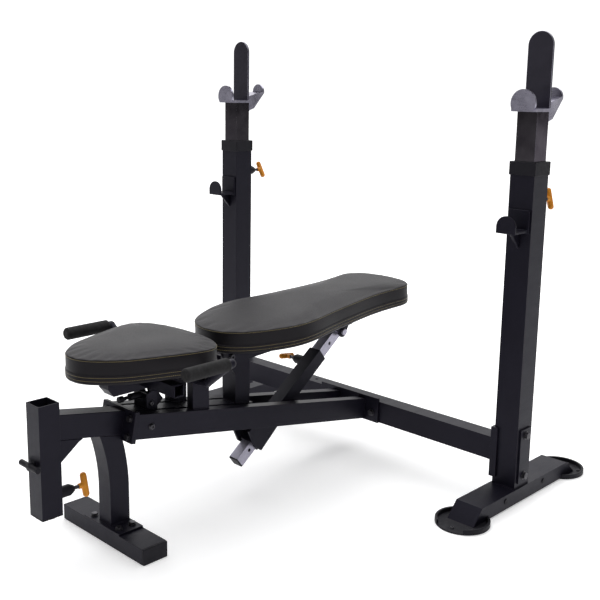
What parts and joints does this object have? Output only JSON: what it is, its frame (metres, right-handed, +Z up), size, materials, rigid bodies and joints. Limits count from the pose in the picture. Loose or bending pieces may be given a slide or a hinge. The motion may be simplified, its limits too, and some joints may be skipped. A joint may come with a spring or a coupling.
{
  "type": "olympic bench press",
  "caption": "Adjustable weight bench with tilting seat and backrest, telescopic bar uprights with hooks, and a front accessory receiver.",
  "frame": {"origin": "middle of the footprint, on the floor", "axes": "+Z up; +Y towards the uprights; -Y is the seat and receiver end; +X to the side"},
  "size_m": [1.2628, 1.4927, 1.252],
  "materials": {
    "frame_paint": "black powder coat",
    "plastic": "black moulded plastic",
    "bolt_steel": "black zinc",
    "chrome_tube": "polished",
    "nickel_plate": "satin nickel plate",
    "dark_plate": "satin black",
    "orange_handle": "orange moulded plastic",
    "vinyl": "black grained vinyl, gold stitching",
    "pad_board": "plywood",
    "foam": "matte foam",
    "zinc_tube": "zinc plated"
  },
  "bodies": {
    "frame": {"crossbar": "frame_paint", "crossbar_end_flanges": "frame_paint", "rail_left": "frame_paint", "rail_right": "frame_paint", "centre_tube": "frame_paint", "rail_spacers": "frame_paint", "rear_flange": "frame_paint", "beam_front_flange": "frame_paint", "front_tube_flange": "frame_paint", "front_tube": "frame_paint", "receiver_post": "frame_paint", "post_gusset": "frame_paint", "front_leg": "frame_paint", "leg_base_plate": "frame_paint", "front_foot": "frame_paint", "upright_left": "frame_paint", "upright_right": "frame_paint", "upright_bolt_plates": "frame_paint", "rear_foot_left": "frame_paint", "rear_foot_right": "frame_paint", "lower_hook_left": "frame_paint", "lower_hook_right": "frame_paint", "strut_gussets": "frame_paint", "seat_hinge_posts": "frame_paint", "backrest_post": "frame_paint", "seat_clevis": "frame_paint", "receiver_plug": "plastic", "front_foot_caps": "plastic", "upright_collars": "plastic", "rear_foot_plugs": "plastic", "foot_discs": "plastic", "frame_pin_housings": "plastic", "frame_bolts": "bolt_steel"},
    "inner_upright_left": {"inner_upright_left": "chrome_tube", "hook_cradle_left": "nickel_plate", "hook_blade_left": "dark_plate"},
    "inner_upright_right": {"inner_upright_right": "chrome_tube", "hook_cradle_right": "nickel_plate", "hook_blade_right": "dark_plate"},
    "upright_pin_left": {"upright_pin_left": "orange_handle"},
    "upright_pin_right": {"upright_pin_right": "orange_handle"},
    "receiver_pin": {"receiver_pin": "orange_handle"},
    "clamp_screw": {"clamp_screw": "plastic"},
    "seat_pin": {"seat_pin": "plastic"},
    "seat": {"seat_pad": "vinyl", "seat_board": "pad_board", "seat_beam": "frame_paint", "seat_cross_arms": "frame_paint", "seat_handle_bars": "frame_paint", "foam_grips": "foam"},
    "backrest": {"backrest_pad": "vinyl", "backrest_board": "pad_board", "backrest_rails": "frame_paint", "strut_pivot_stubs": "zinc_tube"},
    "strut_sleeve": {"strut_sleeve": "frame_paint", "strut_pin_housing": "plastic"},
    "strut_tube": {"strut_tube": "zinc_tube", "strut_tube_plug": "plastic"},
    "strut_pin": {"strut_pin": "orange_handle"}
  },
  "joints": [
    {"name": "left_upright_slide", "type": "slide", "parent": "frame", "child": "inner_upright_left", "axis": [0, 0, 1], "range_m": [-0.09, 0.15]},
    {"name": "right_upright_slide", "type": "slide", "parent": "frame", "child": "inner_upright_right", "axis": [0, 0, 1], "range_m": [-0.09, 0.15]},
    {"name": "left_upright_pin_pull", "type": "slide", "parent": "frame", "child": "upright_pin_left", "axis": [0, 1, 0], "range_m": [0, 0.012], "stiffness_N_per_m": 400},
    {"name": "right_upright_pin_pull", "type": "slide", "parent": "frame", "child": "upright_pin_right", "axis": [0, 1, 0], "range_m": [0, 0.012], "stiffness_N_per_m": 400},
    {"name": "receiver_pin_pull", "type": "slide", "parent": "frame", "child": "receiver_pin", "axis": [0, 1, 0], "range_m": [0, 0.012], "stiffness_N_per_m": 400},
    {"name": "clamp_screw_turn", "type": "hinge", "parent": "frame", "child": "clamp_screw", "pos_m": [0, -0.7276, 0.25], "axis": [0, 1, 0], "range_deg": [-180, 180]},
    {"name": "seat_pin_pull", "type": "slide", "parent": "frame", "child": "seat_pin", "axis": [0, -1, 0], "range_m": [0, 0.01], "stiffness_N_per_m": 400},
    {"name": "seat_tilt", "type": "hinge", "parent": "frame", "child": "seat", "pos_m": [0, -0.276, 0.4], "axis": [-1, 0, 0], "range_deg": [0, 15]},
    {"name": "backrest_tilt", "type": "hinge", "parent": "frame", "child": "backrest", "pos_m": [0, -0.166, 0.404], "axis": [1, 0, 0], "range_deg": [0, 72]},
    {"name": "strut_swing", "type": "hinge", "parent": "frame", "child": "strut_sleeve", "pos_m": [0, -0.023, 0.145], "axis": [1, 0, 0], "range_deg": [0, 51.54]},
    {"name": "strut_extend", "type": "slide", "parent": "strut_sleeve", "child": "strut_tube", "axis": [0, 0.7958, 0.6056], "range_m": [0, 0.2938]},
    {"name": "strut_pin_pull", "type": "slide", "parent": "strut_sleeve", "child": "strut_pin", "axis": [-1, 0, 0], "range_m": [0, 0.012], "stiffness_N_per_m": 400}
  ],
  "couplings": [
    {"joint": "strut_swing", "follows": "backrest_tilt", "ratio": 0.7144},
    {"joint": "strut_extend", "follows": "backrest_tilt", "m_per_rad": 0.233}
  ]
}
